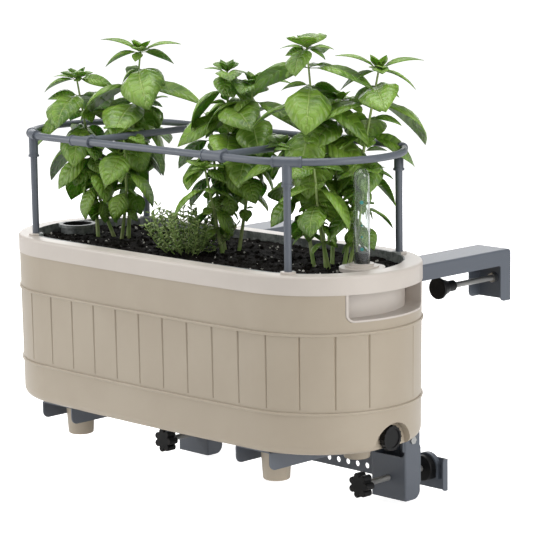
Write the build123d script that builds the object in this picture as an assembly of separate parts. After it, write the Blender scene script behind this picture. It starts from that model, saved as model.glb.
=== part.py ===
from build123d import *
import math
import os

# Self-watering railing planter with a tube trellis, hung by two clamp brackets.
# Millimetres. The rail's top front edge is the origin: X runs along the rail,
# Y from the planter towards the rail's far side, Z up.

# Planter plan, a four-centre oval
tub_length = 700.0
tub_width = 288.9
tub_end_radius = 139.4
tub_wall = 3.0
tub_draft = 0.5
tub_behind_gap = 0.5

# Planter heights
rim_top = 52.0
band_height = 25.5
tub_depth = 216.5
tub_bottom_radius = 13.0
lip_height = 6.0
lip_root = 8.0
lip_wall = 1.7

# Hoops and plank grooves
hoop_height = 4.0
hoop_proud = 2.2
hoop_edge_radius = 1.2
upper_hoop_drop = 76.3
lower_hoop_drop = 182.9
plank_pitch = 48.2
plank_count = 8
groove_depth = 1.7
groove_width = 3.0

# Feet
foot_spacing = 160.0
foot_top_radius = 22.0
foot_bottom_radius = 18.5
foot_height = 50.0
foot_edge_radius = 3.0
foot_wall = 2.5

# Handle openings in the ends
handle_width = 148.0
handle_depth = 37.5
handle_corner_radius = 11.0
handle_lining = 2.5

# Drain pocket, plug and washer
pocket_width = 72.0
pocket_top_drop = 206.0
pocket_recess = 17.0
drain_drop = 228.0
drain_cap_radius = 17.5
drain_cap_thickness = 9.0
drain_cap_ribs = 16
drain_rib_radius = 1.1
drain_face_recess = 1.2
drain_rim_width = 3.0
drain_stem_radius = 8.0
drain_stem_length = 17.0
washer_radius = 12.5
washer_thickness = 2.0

# Liner: band, deck and planting trough
band_proud = 1.0
band_wall = 3.0
band_edge_radius = 4.0
deck_width = 25.0
deck_wall = 3.0
trough_depth = 167.0
trough_wall = 3.0
trough_draft = 1.0
trough_bottom_radius = 8.0

# Post sockets
post_radius = 5.0
tube_wall = 1.0
socket_radius = 10.5
socket_height = 3.0
socket_depth = 28.0
socket_floor = 4.0
socket_edge_radius = 1.0

# Water gauge
gauge_place = 290.0
gauge_tube_radius = 11.0
gauge_tube_wall = 1.5
gauge_tube_height = 132.0
gauge_collar_radius = 31.0
gauge_collar_drop = 1.0
gauge_ring_radius = 23.0
gauge_ring_height = 2.0
gauge_socket_radius = 16.0
gauge_socket_height = 5.0
gauge_tower_radius = 26.0
gauge_tower_wall = 3.5
gauge_roof = 6.0
gauge_indicator_height = 19.0
gauge_rod_radius = 3.0
float_radius = 20.0
float_height = 25.0
float_floor_gap = 5.0
mark_heights = (24.0, 40.6, 56.0, 87.0)
mark_radii = (2.4, 1.4, 1.2, 2.6)
mark_proud = 0.4
mark_turn = -47.0

# Watering port
port_place = 293.0
port_bore = 21.5
port_wall = 3.5
port_lip_width = 3.0
port_lip_height = 1.5
tower_web = 12.0

# Wick cups and floor holes
cup_place = 120.0
cup_top_radius = 34.0
cup_bottom_radius = 28.0
cup_wall = 2.5
cup_floor_gap = 3.0
cup_slot_width = 6.0
cup_slot_height = 34.0
floor_hole_radius = 4.0
floor_hole_pitch = 42.0
floor_hole_count = 4

# Trellis
ring_height = 148.0
ring_half_width = 123.5
ring_end_place = 200.5
post_turn = 28.0
bar_place = 135.0
sleeve_radius = 7.0
bead_radius = 7.8
bead_width = 3.0
drop_sleeve_radius = 6.6
sleeve_half_length = 20.0
drop_sleeve = 32.5
branch_sleeve = 23.0
branch_radius = 6.8
branch_root = 2.0
tube_end_gap = 3.0
post_top_drop = 8.0
bar_stop_gap = 0.5

# Bracket sheet
sheet = 2.0
bend_radius = 3.0
bracket_place = 203.0
leg_width = 66.0
leg_depth = 30.5
leg_bottom_drop = 312.0
leg_top_drop = 6.0
leg_corner_radius = 13.0
window_bottom_drop = 249.0
window_top_drop = 182.0
window_corner_radius = 8.0

# Hook
hook_flange = 24.0
hook_height = 23.0
hook_outer_reach = 205.5
hook_drop = 53.0
hook_tail = 150.0
hook_corner_radius = 5.5
hook_toe_radius = 8.0

# Shelf arm
shelf_front = 125.0
shelf_depth = 25.7
shelf_toe_radius = 10.0
shelf_hole_gap = 1.0
shelf_tail_drop = 24.0
shelf_tail_end = 8.0

# Spreader plate
plate_half_length = 236.0
plate_height = 60.0
plate_corner_radius = 6.0
hole_pitch = 19.05
hole_radius = 4.25
hole_rows = 3
first_row_drop = 244.0
row_edge = 11.0
screw_pass_radius = 7.0
tab_height = 16.0
tab_edge = 7.0
outer_bolt_column = 12
inner_bolt_column = 10

# Frame bolts
bolt_radius = 3.0
bolt_head_flats = 10.0
bolt_head = 2.5
bolt_nut = 5.0
hook_bolt_drops = (60.0, 100.0)
shelf_bolt_place = 15.0
shelf_bolt_drop = 225.0

# Clamp screws
screw_radius = 4.25
screw_head_flats = 13.0
screw_head = 6.0
screw_nut = 6.5
upper_screw_drop = 23.0
lower_screw_drop = 282.0
upper_head_gap = 14.0
pad_radius = 16.0
pad_back_radius = 8.0
pad_length = 35.0
pad_lip = 5.0
pad_edge_radius = 1.5
pad_flare = 14.0
pad_neck_radius = 10.0
pad_bore_depth = 25.0
rail_depth = 75.5
knob_radius = 18.5
knob_thickness = 15.0
knob_lobes = 7
knob_lobe_radius = 5.2
knob_place = 87.0
knob_bore_depth = 10.0
knob_edge_radius = 1.5
shoe_place = 60.5
shoe_bottom_margin = 31.0
shoe_top_margin = 16.0
shoe_lip = 8.0
shoe_corner_radius = 5.0
cup_pad_radius = 18.9
cup_pad_length = 19.0
cup_pad_edge_radius = 2.0
cup_pad_bore = 12.5
keeper_wall = 3.0
keeper_leg = 15.0

# Soil and herbs
soil_drop = 12.0
plant_sides = 12
tip_share = 0.84
crown_height_shares = (0.0, 0.10, 0.32, 0.58, 0.82, 1.0)
crown_radius_shares = (0.30, 0.72, 1.0, 0.92, 0.60, 0.14)
stem_radius = 7.0
tube_clearance = 4.0
herb_names = ("basil_left", "basil_middle", "basil_right", "thyme")
herb_places = (-200.0, 22.0, 192.0, -62.0)
herb_offsets = (0.0, 10.0, 30.0, -62.0)
herb_radii = (98.0, 66.0, 86.0, 50.0)
herb_bottoms = (26.0, 34.0, 34.0, 4.0)
herb_heights = (240.0, 226.0, 262.0, 66.0)

# Fits shared by all pieces
running_fit = 0.05
seat_gap = 0.3
overrun = 5.0

# Places worked out from the sizes above
tub_y = -(leg_depth + tub_behind_gap + tub_width / 2)
band_bottom = rim_top - band_height
tub_bottom = band_bottom - tub_depth
tub_floor = tub_bottom + tub_wall
end_place = tub_length / 2 - tub_end_radius
half_width = tub_width / 2
side_radius = (end_place**2 + half_width**2 - tub_end_radius**2) / (tub_width - 2 * tub_end_radius)
side_centre = side_radius - half_width
draft_rate = math.tan(math.radians(tub_draft))
post_angle = 90.0 - post_turn
ring_z = rim_top + ring_height
post_x = ring_end_place + ring_half_width * math.cos(math.radians(post_angle))
post_y = ring_half_width * math.sin(math.radians(post_angle))
deck_bottom = rim_top - deck_wall
trough_bottom = rim_top - trough_depth
trough_floor = trough_bottom + trough_wall
soil_top = rim_top - soil_drop
shelf_top = tub_bottom - seat_gap
shelf_bottom = shelf_top - shelf_depth
leg_inner = leg_width / 2 - sheet
tail_half = leg_inner - 2 * running_fit
upper_screw_z = -upper_screw_drop
lower_screw_z = -lower_screw_drop
on_base = (Align.CENTER, Align.CENTER, Align.MIN)
on_corner = (Align.MIN, Align.MIN, Align.MIN)
sides = {"left": -1, "right": 1}


def block(x, y, z):
    """A box between three pairs of limits."""
    size = Box(x[1] - x[0], y[1] - y[0], z[1] - z[0], align=on_corner)
    return Pos(x[0], y[0], z[0]) * size


def rod_x(radius, x, y, z):
    return Pos(x[0], y, z) * Rot(0, 90, 0) * Cylinder(radius, x[1] - x[0], align=on_base)


def rod_y(radius, x, y, z):
    return Pos(x, y[0], z) * Rot(-90, 0, 0) * Cylinder(radius, y[1] - y[0], align=on_base)


def rod_z(radius, x, y, z):
    return Pos(x, y, z[0]) * Cylinder(radius, z[1] - z[0], align=on_base)


def hexagon(flats, length):
    return extrude(RegularPolygon(flats / 2, 6, major_radius=False, rotation=30), amount=length)


def hex_y(flats, x, y, z):
    return Pos(x, y[0], z) * Rot(-90, 0, 0) * hexagon(flats, y[1] - y[0])


def oval(grow, z):
    """The planter's outline, grown by an offset, as a face at height z."""
    end = tub_end_radius + grow
    lean = math.atan2(end_place, side_centre)
    join_x = end_place + end * math.sin(lean)
    join_y = end * math.cos(lean)
    half = half_width + grow
    right_front = Vector(join_x, tub_y - join_y, z)
    right_back = Vector(join_x, tub_y + join_y, z)
    left_front = Vector(-join_x, tub_y - join_y, z)
    left_back = Vector(-join_x, tub_y + join_y, z)
    arcs = [
        ThreePointArc(right_front, Vector(end_place + end, tub_y, z), right_back),
        ThreePointArc(right_back, Vector(0, tub_y + half, z), left_back),
        ThreePointArc(left_back, Vector(-end_place - end, tub_y, z), left_front),
        ThreePointArc(left_front, Vector(0, tub_y - half, z), right_front),
    ]
    return Face(Wire([arc.edge() for arc in arcs]))


def oval_prism(grow, low, high):
    return extrude(oval(grow, low), amount=high - low, dir=(0, 0, 1))


def oval_drafted(grow, top, low, draft):
    """An oval body that narrows downwards by its draft angle."""
    return extrude(oval(grow, top), amount=top - low, dir=(0, 0, -1), taper=draft)


def bottom_edges(shape):
    return shape.faces().sort_by(Axis.Z)[0].outer_wire().edges()


def top_edges(shape):
    return shape.faces().sort_by(Axis.Z)[-1].outer_wire().edges()


def wall_offset(z):
    """How far the drafted wall stands inside the outline at height z."""
    return -draft_rate * (band_bottom - z)


def outline_place(length):
    """A point of the front outline and its outward turn, at a distance from the middle."""
    lean = math.atan2(end_place, side_centre)
    join = side_radius * lean
    if length < join:
        turn = length / side_radius
        centre_x, centre_y, radius = 0.0, tub_y + side_centre, side_radius
    else:
        turn = lean + (length - join) / tub_end_radius
        centre_x, centre_y, radius = end_place, tub_y, tub_end_radius
    return centre_x, centre_y, radius, turn


def groove_cutters():
    """V grooves that part the tub's wall into planks between the hoops."""
    low = rim_top - lower_hoop_drop + hoop_height
    high = rim_top - upper_hoop_drop - hoop_height
    drop = wall_offset((low + high) / 2)
    cutters = []
    for count in range(-plank_count, plank_count + 1):
        cx, cy, radius, turn = outline_place(abs(count) * plank_pitch)
        sign = math.copysign(1, count)
        radius = radius + drop
        notch = Polygon(
            (-groove_depth, 0),
            (groove_depth, -groove_width),
            (groove_depth, groove_width),
            align=None,
        )
        x = sign * (cx + radius * math.sin(turn))
        angle = -90 + sign * math.degrees(turn)
        for face in (1, -1):
            y = tub_y + face * (cy - radius * math.cos(turn) - tub_y)
            cutter = extrude(Rot(0, 0, face * angle) * notch, amount=high - low)
            cutters.append(Pos(x, y, low) * cutter)
    return cutters


def arch(half, top, x):
    """The drain pocket's arched outline, run along X."""
    centre = top - half
    body = block(x, (tub_y - half, tub_y + half), (tub_bottom - overrun, centre))
    return body + rod_x(half, x, tub_y, centre)


def make_tub():
    shell = fillet(
        bottom_edges(oval_drafted(0, band_bottom, tub_bottom, tub_draft)), tub_bottom_radius
    )
    for drop in (upper_hoop_drop, lower_hoop_drop):
        z = rim_top - drop
        hoop = oval_prism(hoop_proud + wall_offset(z), z - hoop_height, z)
        rim = hoop.edges().filter_by(Axis.Z, reverse=True)
        shell += fillet(rim, hoop_edge_radius)
    for sign_x in sides.values():
        for sign_y in sides.values():
            foot = Pos(0, 0, -foot_height) * Cone(
                foot_bottom_radius, foot_top_radius, foot_height + tub_wall, align=on_base
            )
            foot = fillet(bottom_edges(foot), foot_edge_radius)
            place = Pos(sign_x * bracket_place, tub_y + sign_y * foot_spacing / 2, tub_bottom)
            shell += place * foot
    cavity = oval_drafted(-tub_wall, band_bottom, tub_floor, tub_draft)
    cavity = fillet(bottom_edges(cavity), tub_bottom_radius - tub_wall)
    pocket_back = tub_length / 2 - pocket_recess
    pocket_top = rim_top - pocket_top_drop
    housing_x = (pocket_back - tub_wall, tub_length / 2 + overrun)
    cavity -= arch(pocket_width / 2 + tub_wall, pocket_top + tub_wall, housing_x)
    shell -= cavity
    for sign_x in sides.values():
        for sign_y in sides.values():
            hollow = Cone(
                foot_bottom_radius - foot_wall,
                foot_top_radius - foot_wall,
                foot_height - foot_wall + tub_wall,
                align=on_base,
            )
            place = Pos(
                sign_x * bracket_place,
                tub_y + sign_y * foot_spacing / 2,
                tub_bottom - foot_height + foot_wall,
            )
            shell -= place * hollow
    lip_outer = oval_prism(-(band_wall - band_proud + seat_gap), *lip_heights())
    lip_inner = oval_prism(-(band_wall - band_proud + seat_gap + lip_wall), *lip_heights())
    shell += lip_outer - lip_inner
    shell -= arch(pocket_width / 2, pocket_top, (pocket_back, tub_length / 2 + overrun))
    drain_x = (pocket_back - tub_wall - overrun, pocket_back + overrun)
    shell -= rod_x(drain_stem_radius + running_fit, drain_x, tub_y, rim_top - drain_drop)
    shell -= handle_hole(0, overrun + lip_height)
    for cutter in groove_cutters():
        shell -= cutter
    return shell


def lip_heights():
    return band_bottom - lip_root, band_bottom + lip_height


def handle_hole(inset, above):
    """The hand openings' outline in both ends, drawn in by an inset."""
    low = rim_top - band_height - handle_depth + inset
    half = handle_width / 2 - inset
    cut = block(
        (end_place + tub_end_radius / 2, tub_length / 2 + overrun),
        (tub_y - half, tub_y + half),
        (low, band_bottom + above),
    )
    corners = cut.edges().filter_by(Axis.X).sort_by(Axis.Z)[:2]
    cut = fillet(corners, handle_corner_radius - inset)
    return cut + mirror(cut, about=Plane.YZ)


def make_liner():
    rim = oval_prism(band_proud, band_bottom, rim_top)
    rim = fillet(top_edges(rim), band_edge_radius)
    rim -= oval_prism(band_proud - band_wall, band_bottom - overrun, deck_bottom)
    trough = oval_drafted(-deck_width + trough_wall, deck_bottom, trough_bottom, trough_draft)
    trough = fillet(bottom_edges(trough), trough_bottom_radius)
    lining = handle_hole(seat_gap, deck_wall) - handle_hole(seat_gap + handle_lining, deck_wall + overrun)
    lining &= oval_prism(band_proud, tub_bottom, deck_bottom)
    lining -= oval_prism(-(band_wall - band_proud + seat_gap + lip_wall), band_bottom, deck_bottom)
    hollow = oval_drafted(-deck_width, rim_top, trough_floor, trough_draft)
    hollow = fillet(bottom_edges(hollow), trough_bottom_radius - trough_wall)
    body = rim + trough + lining - hollow
    body += gauge_tower() + port_tower()
    for sign in sides.values():
        body += wick_cup(sign * cup_place)
    for sign_x in sides.values():
        for sign_y in sides.values():
            socket = rod_z(
                socket_radius,
                sign_x * post_x,
                tub_y + sign_y * post_y,
                (rim_top - socket_depth - socket_floor, rim_top + socket_height),
            )
            body += fillet(top_edges(socket), socket_edge_radius)
    for sign_x in sides.values():
        for sign_y in sides.values():
            body -= rod_z(
                post_radius + running_fit,
                sign_x * post_x,
                tub_y + sign_y * post_y,
                (rim_top - socket_depth, rim_top + socket_height + overrun),
            )
        body -= cup_inside(sign_x * cup_place)
    body -= tower_bores()
    for row in (-1, 1):
        for count in range(floor_hole_count):
            x = (count - (floor_hole_count - 1) / 2) * floor_hole_pitch / 2
            y = tub_y + row * floor_hole_pitch
            body -= rod_z(floor_hole_radius, x, y, (trough_bottom - overrun, trough_floor + overrun))
    return body


def tower_walls(x, radius):
    """A round tower that stands on the trough's floor, webbed to the end wall."""
    body = rod_z(radius, x, tub_y, (trough_bottom, deck_bottom))
    wall_x = math.copysign(tub_length / 2 - deck_width + trough_wall / 2, x)
    limits = (min(x, wall_x), max(x, wall_x))
    web_y = (tub_y - tower_web / 2, tub_y + tower_web / 2)
    web = block(limits, web_y, (trough_floor, deck_bottom))
    slope = oval_drafted(-deck_width + trough_wall, deck_bottom, trough_bottom, trough_draft)
    return body + (web & slope)


def gauge_tower():
    body = tower_walls(gauge_place, gauge_tower_radius)
    collar_top = rim_top - gauge_collar_drop
    body += rod_z(gauge_collar_radius, gauge_place, tub_y, (deck_bottom - deck_wall, collar_top))
    ring = (collar_top, collar_top + gauge_ring_height)
    body += rod_z(gauge_ring_radius, gauge_place, tub_y, ring)
    socket = (collar_top, collar_top + gauge_socket_height)
    return body + rod_z(gauge_socket_radius, gauge_place, tub_y, socket)


def port_tower():
    body = tower_walls(-port_place, port_bore + port_wall)
    lip = (deck_bottom, rim_top + port_lip_height)
    return body + rod_z(port_bore + port_wall + port_lip_width, -port_place, tub_y, lip)


def tower_bores():
    collar_top = rim_top - gauge_collar_drop
    roof = collar_top - gauge_roof
    float_bore = gauge_tower_radius - gauge_tower_wall
    cut = rod_z(float_bore, gauge_place, tub_y, (trough_bottom - overrun, roof))
    cut += rod_z(gauge_rod_radius + running_fit, gauge_place, tub_y, (roof - overrun, rim_top))
    socket = (collar_top, collar_top + gauge_socket_height + overrun)
    cut += rod_z(gauge_tube_radius + running_fit, gauge_place, tub_y, socket)
    port = (trough_bottom - overrun, rim_top + port_lip_height + overrun)
    return cut + rod_z(port_bore, -port_place, tub_y, port)


def wick_cup(x):
    """A tapered cup that reaches from the trough's floor down into the reservoir."""
    low = tub_floor + cup_floor_gap
    cup = Cone(cup_bottom_radius, cup_top_radius, trough_floor - low, align=on_base)
    return Pos(x, tub_y, low) * cup


def cup_inside(x):
    low = tub_floor + cup_floor_gap + cup_wall
    high = trough_floor + overrun
    bore = Cone(cup_bottom_radius - cup_wall, cup_top_radius - cup_wall, high - low, align=on_base)
    cut = Pos(x, tub_y, low) * bore
    half = cup_slot_width / 2
    reach = cup_top_radius + overrun
    slot_z = (low + cup_wall, low + cup_wall + cup_slot_height)
    cut += block((x - reach, x + reach), (tub_y - half, tub_y + half), slot_z)
    return cut + block((x - half, x + half), (tub_y - reach, tub_y + reach), slot_z)


def make_drain_cap():
    inner = tub_length / 2 - pocket_recess + washer_thickness
    outer = inner + drain_cap_thickness
    z = rim_top - drain_drop
    cap = rod_x(drain_cap_radius - drain_rib_radius, (inner, outer), tub_y, z)
    for count in range(drain_cap_ribs):
        turn = 2 * math.pi * count / drain_cap_ribs
        reach = drain_cap_radius - drain_rib_radius
        y = tub_y + reach * math.cos(turn)
        cap += rod_x(drain_rib_radius, (inner, outer), y, z + reach * math.sin(turn))
    face_radius = drain_cap_radius - drain_rib_radius - drain_rim_width
    cap -= rod_x(face_radius, (outer - drain_face_recess, outer + overrun), tub_y, z)
    return cap + rod_x(drain_stem_radius, (inner - drain_stem_length, inner), tub_y, z)


def make_drain_washer():
    back = tub_length / 2 - pocket_recess
    z = rim_top - drain_drop
    limits = (back, back + washer_thickness)
    hole = (back - overrun, back + washer_thickness + overrun)
    return rod_x(washer_radius, limits, tub_y, z) - rod_x(drain_stem_radius + running_fit, hole, tub_y, z)


def domed_tube(radius, low, high):
    body = rod_z(radius, gauge_place, tub_y, (low, high - radius))
    return body + Pos(gauge_place, tub_y, high - radius) * Sphere(radius)


def make_gauge_tube():
    low = rim_top - gauge_collar_drop
    high = rim_top + gauge_tube_height
    outer = domed_tube(gauge_tube_radius, low, high)
    bore = gauge_tube_radius - gauge_tube_wall
    return outer - domed_tube(bore, low - overrun, high - gauge_tube_wall)


def make_gauge_marks():
    """Round marks printed down the side of the tube that faces the user."""
    marks = []
    for height, radius in zip(mark_heights, mark_radii):
        level = rim_top + height
        limits = (level - radius, level + radius)
        ring = rod_z(gauge_tube_radius + mark_proud, gauge_place, tub_y, limits)
        ring -= rod_z(gauge_tube_radius, gauge_place, tub_y, limits)
        dot = Cylinder(radius, gauge_tube_radius + overrun, align=on_base)
        place = Pos(gauge_place, tub_y, level) * Rot(0, 0, mark_turn) * Rot(0, 90, 0)
        marks.append(ring & (place * dot))
    return Compound(children=[mark.solid() for mark in marks])


def make_gauge_float():
    seat = rim_top - gauge_collar_drop
    bore = gauge_tube_radius - gauge_tube_wall
    body = rod_z(bore - running_fit, gauge_place, tub_y, (seat, seat + gauge_indicator_height))
    low = tub_floor + float_floor_gap
    body += rod_z(gauge_rod_radius, gauge_place, tub_y, (low + float_height, seat))
    return body + rod_z(float_radius, gauge_place, tub_y, (low, low + float_height))


def make_soil():
    body = oval_drafted(-deck_width, rim_top, trough_floor + seat_gap, trough_draft)
    body = fillet(bottom_edges(body), trough_bottom_radius)
    shrink = oval_drafted(-deck_width - seat_gap, rim_top, trough_floor + seat_gap, trough_draft)
    body &= fillet(bottom_edges(shrink), trough_bottom_radius)
    body -= oval_prism(0, soil_top, rim_top + overrun)
    for sign in sides.values():
        low = tub_floor + cup_floor_gap + cup_wall + seat_gap
        high = trough_floor + overrun
        plug = Cone(
            cup_bottom_radius - cup_wall - seat_gap,
            cup_top_radius - cup_wall - seat_gap,
            high - low,
            align=on_base,
        )
        body += Pos(sign * cup_place, tub_y, low) * plug
    through = (trough_bottom - overrun, rim_top + overrun)
    body -= rod_z(gauge_tower_radius + seat_gap, gauge_place, tub_y, through)
    body -= rod_z(port_bore + port_wall + seat_gap, -port_place, tub_y, through)
    web_y = (tub_y - tower_web / 2 - seat_gap, tub_y + tower_web / 2 + seat_gap)
    body -= block((gauge_place, tub_length / 2), web_y, through)
    body -= block((-tub_length / 2, -port_place), web_y, through)
    for sign_x in sides.values():
        for sign_y in sides.values():
            y = tub_y + sign_y * post_y
            socket_z = (rim_top - socket_depth - socket_floor - seat_gap, rim_top + overrun)
            body -= rod_z(socket_radius + seat_gap, sign_x * post_x, y, socket_z)
    return body


def herb(x, offset, radius, bottom, height):
    """A leafy crown of faceted tiers on its stem, clear of the trellis."""
    y = tub_y + offset
    low = rim_top + bottom
    rings = []
    for level, share in enumerate(crown_height_shares):
        points = []
        for corner in range(plant_sides):
            turn = 2 * math.pi * (corner + level / 2) / plant_sides
            reach = radius * crown_radius_shares[level]
            if (corner + level) % 2:
                reach = reach * tip_share
            points.append((x + reach * math.cos(turn), y + reach * math.sin(turn), low + height * share))
        rings.append(Wire.make_polygon(points, close=True))
    crown = Solid.make_loft(rings, ruled=True)
    crown = crown + rod_z(stem_radius, x, y, (soil_top, low + height / 2))
    for sign in sides.values():
        bar = (tub_y - ring_half_width, tub_y + ring_half_width)
        crown -= rod_y(sleeve_radius + tube_clearance, sign * bar_place, bar, ring_z)
    return crown


def ring_arc(radius, sign, start, stop):
    """A bent tube round an end of the trellis ring, between two turns from the X axis."""
    turn = math.radians(start)
    place = Vector(
        sign * ring_end_place + ring_half_width * math.cos(turn),
        tub_y + ring_half_width * math.sin(turn),
        ring_z,
    )
    radial = Vector(math.cos(turn), math.sin(turn), 0)
    along = Vector(-math.sin(turn), math.cos(turn), 0)
    section = Plane(origin=place, x_dir=radial, z_dir=along) * Circle(radius)
    spine = Axis((sign * ring_end_place, tub_y, ring_z), (0, 0, 1))
    return revolve(section, axis=spine, revolution_arc=stop - start)


def half_arc_gap():
    return math.degrees(tube_end_gap / ring_half_width)


def make_end_arc(sign):
    reach = post_angle - half_arc_gap()
    middle = 0 if sign > 0 else 180
    outer = ring_arc(post_radius, sign, middle - reach, middle + reach)
    return outer - ring_arc(post_radius - tube_wall, sign, middle - reach, middle + reach)


def make_rail_end(sign, row):
    """The tube from a cross tee along the rail and round to a post tee."""
    start = bar_place + tube_end_gap
    x = sorted((sign * start, sign * ring_end_place))
    y = tub_y + row * ring_half_width
    first = 90 * row
    last = row * (post_angle + half_arc_gap())
    if sign < 0:
        first, last = 180 - first, 180 - last
    start_turn, stop_turn = sorted((first, last))
    pieces = []
    for radius in (post_radius, post_radius - tube_wall):
        straight = rod_x(radius, x, y, ring_z)
        pieces.append(straight + ring_arc(radius, sign, start_turn, stop_turn))
    return pieces[0] - pieces[1]


def make_rail_middle(row):
    x = (-bar_place + tube_end_gap, bar_place - tube_end_gap)
    y = tub_y + row * ring_half_width
    return rod_x(post_radius, x, y, ring_z) - rod_x(post_radius - tube_wall, x, y, ring_z)


def make_cross_bar(sign):
    reach = ring_half_width - post_top_drop
    y = (tub_y - reach, tub_y + reach)
    x = sign * bar_place
    return rod_y(post_radius, x, y, ring_z) - rod_y(post_radius - tube_wall, x, y, ring_z)


def make_cross_tee(sign, row):
    """A straight sleeve with a branch for the cross bar and a bead round each mouth."""
    half = sleeve_half_length
    body = rod_x(sleeve_radius, (-half, half), 0, 0)
    body += rod_y(branch_radius, 0, (branch_root, branch_sleeve), 0)
    for end in (-half, half - bead_width):
        body += rod_x(bead_radius, (end, end + bead_width), 0, 0)
    body += rod_y(bead_radius, 0, (branch_sleeve - bead_width, branch_sleeve), 0)
    body -= rod_x(post_radius + running_fit, (-half - overrun, half + overrun), 0, 0)
    stop = post_top_drop - bar_stop_gap
    body -= rod_y(post_radius + running_fit, 0, (stop, branch_sleeve + overrun), 0)
    inward = 0 if row < 0 else 180
    return Pos(sign * bar_place, tub_y + row * ring_half_width, ring_z) * Rot(0, 0, inward) * body


def make_post_tee(sign, row):
    turn = row * post_angle if sign > 0 else 180 - row * post_angle
    half = math.degrees(sleeve_half_length / ring_half_width)
    x = sign * post_x
    y = tub_y + row * post_y
    body = ring_arc(sleeve_radius, sign, turn - half, turn + half)
    body += rod_z(drop_sleeve_radius, x, y, (ring_z - drop_sleeve, ring_z))
    bead = math.degrees(bead_width / ring_half_width)
    for start in (turn - half, turn + half - bead):
        body += ring_arc(bead_radius, sign, start, start + bead)
    body += rod_z(bead_radius, x, y, (ring_z - drop_sleeve, ring_z - drop_sleeve + bead_width))
    body -= ring_arc(post_radius + running_fit, sign, turn - 2 * half, turn + 2 * half)
    bore = (ring_z - drop_sleeve - overrun, ring_z - post_top_drop)
    return body - rod_z(post_radius + running_fit, x, y, bore)


def make_post(sign, row):
    limits = (rim_top - socket_depth, ring_z - post_top_drop)
    x = sign * post_x
    y = tub_y + row * post_y
    return rod_z(post_radius, x, y, limits) - rod_z(post_radius - tube_wall, x, y, limits)


def make_leg():
    """The right leg, a channel open to the rail, with its window and its plate tabs."""
    half = leg_width / 2
    heights = (-leg_bottom_drop, -leg_top_drop)
    body = block((-half, half), (-leg_depth, 0), heights)
    front = body.edges().filter_by(Axis.Z).sort_by(Axis.Y)[:2]
    body = fillet(front, bend_radius)
    inside = (-leg_inner, leg_inner)
    hollow = block(inside, (-leg_depth + sheet, overrun), (-leg_bottom_drop - overrun, overrun))
    front = hollow.edges().filter_by(Axis.Z).sort_by(Axis.Y)[:2]
    body -= fillet(front, bend_radius - sheet)
    low = body.edges().filter_by(Axis.X).filter_by_position(Axis.Y, -sheet / 2, sheet / 2)
    low = low.filter_by_position(Axis.Z, -leg_bottom_drop - sheet, -leg_bottom_drop + sheet)
    body = fillet(low, leg_corner_radius)
    window = block(
        (-leg_inner, leg_inner),
        (-leg_depth - overrun, -leg_depth + sheet + bend_radius),
        (-window_bottom_drop, -window_top_drop),
    )
    body -= fillet(window.edges().filter_by(Axis.Y), window_corner_radius)
    tab_z = (-first_row_drop - tab_height / 2, -first_row_drop + tab_height / 2)
    outer = outer_bolt_column * hole_pitch - bracket_place
    inner = inner_bolt_column * hole_pitch - bracket_place
    body += block((outer - tab_edge, leg_inner), (-sheet, 0), tab_z)
    body += block((-leg_inner, inner + tab_edge), (-sheet, 0), tab_z)
    for x in (outer, inner):
        body -= rod_y(bolt_radius + running_fit, x, (-sheet - overrun, overrun), -first_row_drop)
    for drop in hook_bolt_drops:
        web_y = (-leg_depth - overrun, -leg_depth + sheet + overrun)
        body -= rod_y(bolt_radius + running_fit, 0, web_y, -drop)
    through = (-leg_depth - overrun, -leg_depth + sheet + overrun)
    body -= rod_y(screw_radius + running_fit, 0, through, lower_screw_z)
    through = (-half - overrun, half + overrun)
    return body - rod_x(bolt_radius + running_fit, through, -shelf_bolt_place, -shelf_bolt_drop)


def long_edges(shape):
    """The edges of both side faces, but for the open lower ends."""
    edges = ShapeList()
    for face in shape.faces().filter_by(Axis.X):
        edges += face.outer_wire().edges().sort_by(Axis.Z)[1:]
    return edges


def make_hook():
    """The hook, a channel bent over the rail with its web on the outside."""
    half = tail_half
    front = -leg_depth + sheet + running_fit
    body = block((-half, half), (front, hook_outer_reach), (-hook_tail, hook_height))
    corners = body.edges().filter_by(Axis.X).sort_by(Axis.Z)[-2:]
    body = fillet(corners, hook_corner_radius)
    body = fillet(long_edges(body), bend_radius)
    hollow = block(
        (-half + sheet, half - sheet),
        (front + sheet, hook_outer_reach - sheet),
        (-hook_tail - overrun, hook_height - sheet),
    )
    corners = hollow.edges().filter_by(Axis.X).sort_by(Axis.Z)[-2:]
    hollow = fillet(corners, hook_corner_radius - sheet)
    body -= fillet(long_edges(hollow), bend_radius - sheet)
    drop_front = hook_outer_reach - hook_flange
    across = (-half - overrun, half + overrun)
    jaw = block(across, (front + hook_flange, drop_front), (-hook_tail - overrun, 0))
    corners = jaw.edges().filter_by(Axis.X).sort_by(Axis.Z)[-2:]
    body -= fillet(corners, bend_radius)
    body -= block(
        (-half - overrun, half + overrun),
        (drop_front - overrun, hook_outer_reach + overrun),
        (-hook_tail - overrun, -hook_drop),
    )
    toe = body.edges().filter_by(Axis.X).filter_by_position(Axis.Y, drop_front - sheet, drop_front + sheet)
    toe = toe.filter_by_position(Axis.Z, -hook_drop - sheet, -hook_drop + sheet)
    body = fillet(toe, hook_toe_radius)
    for drop in hook_bolt_drops:
        body -= rod_y(bolt_radius + running_fit, 0, (front - overrun, front + sheet + overrun), -drop)
    web_y = (hook_outer_reach - sheet - overrun, hook_outer_reach + overrun)
    return body - rod_y(screw_radius + running_fit, 0, web_y, upper_screw_z)


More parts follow.
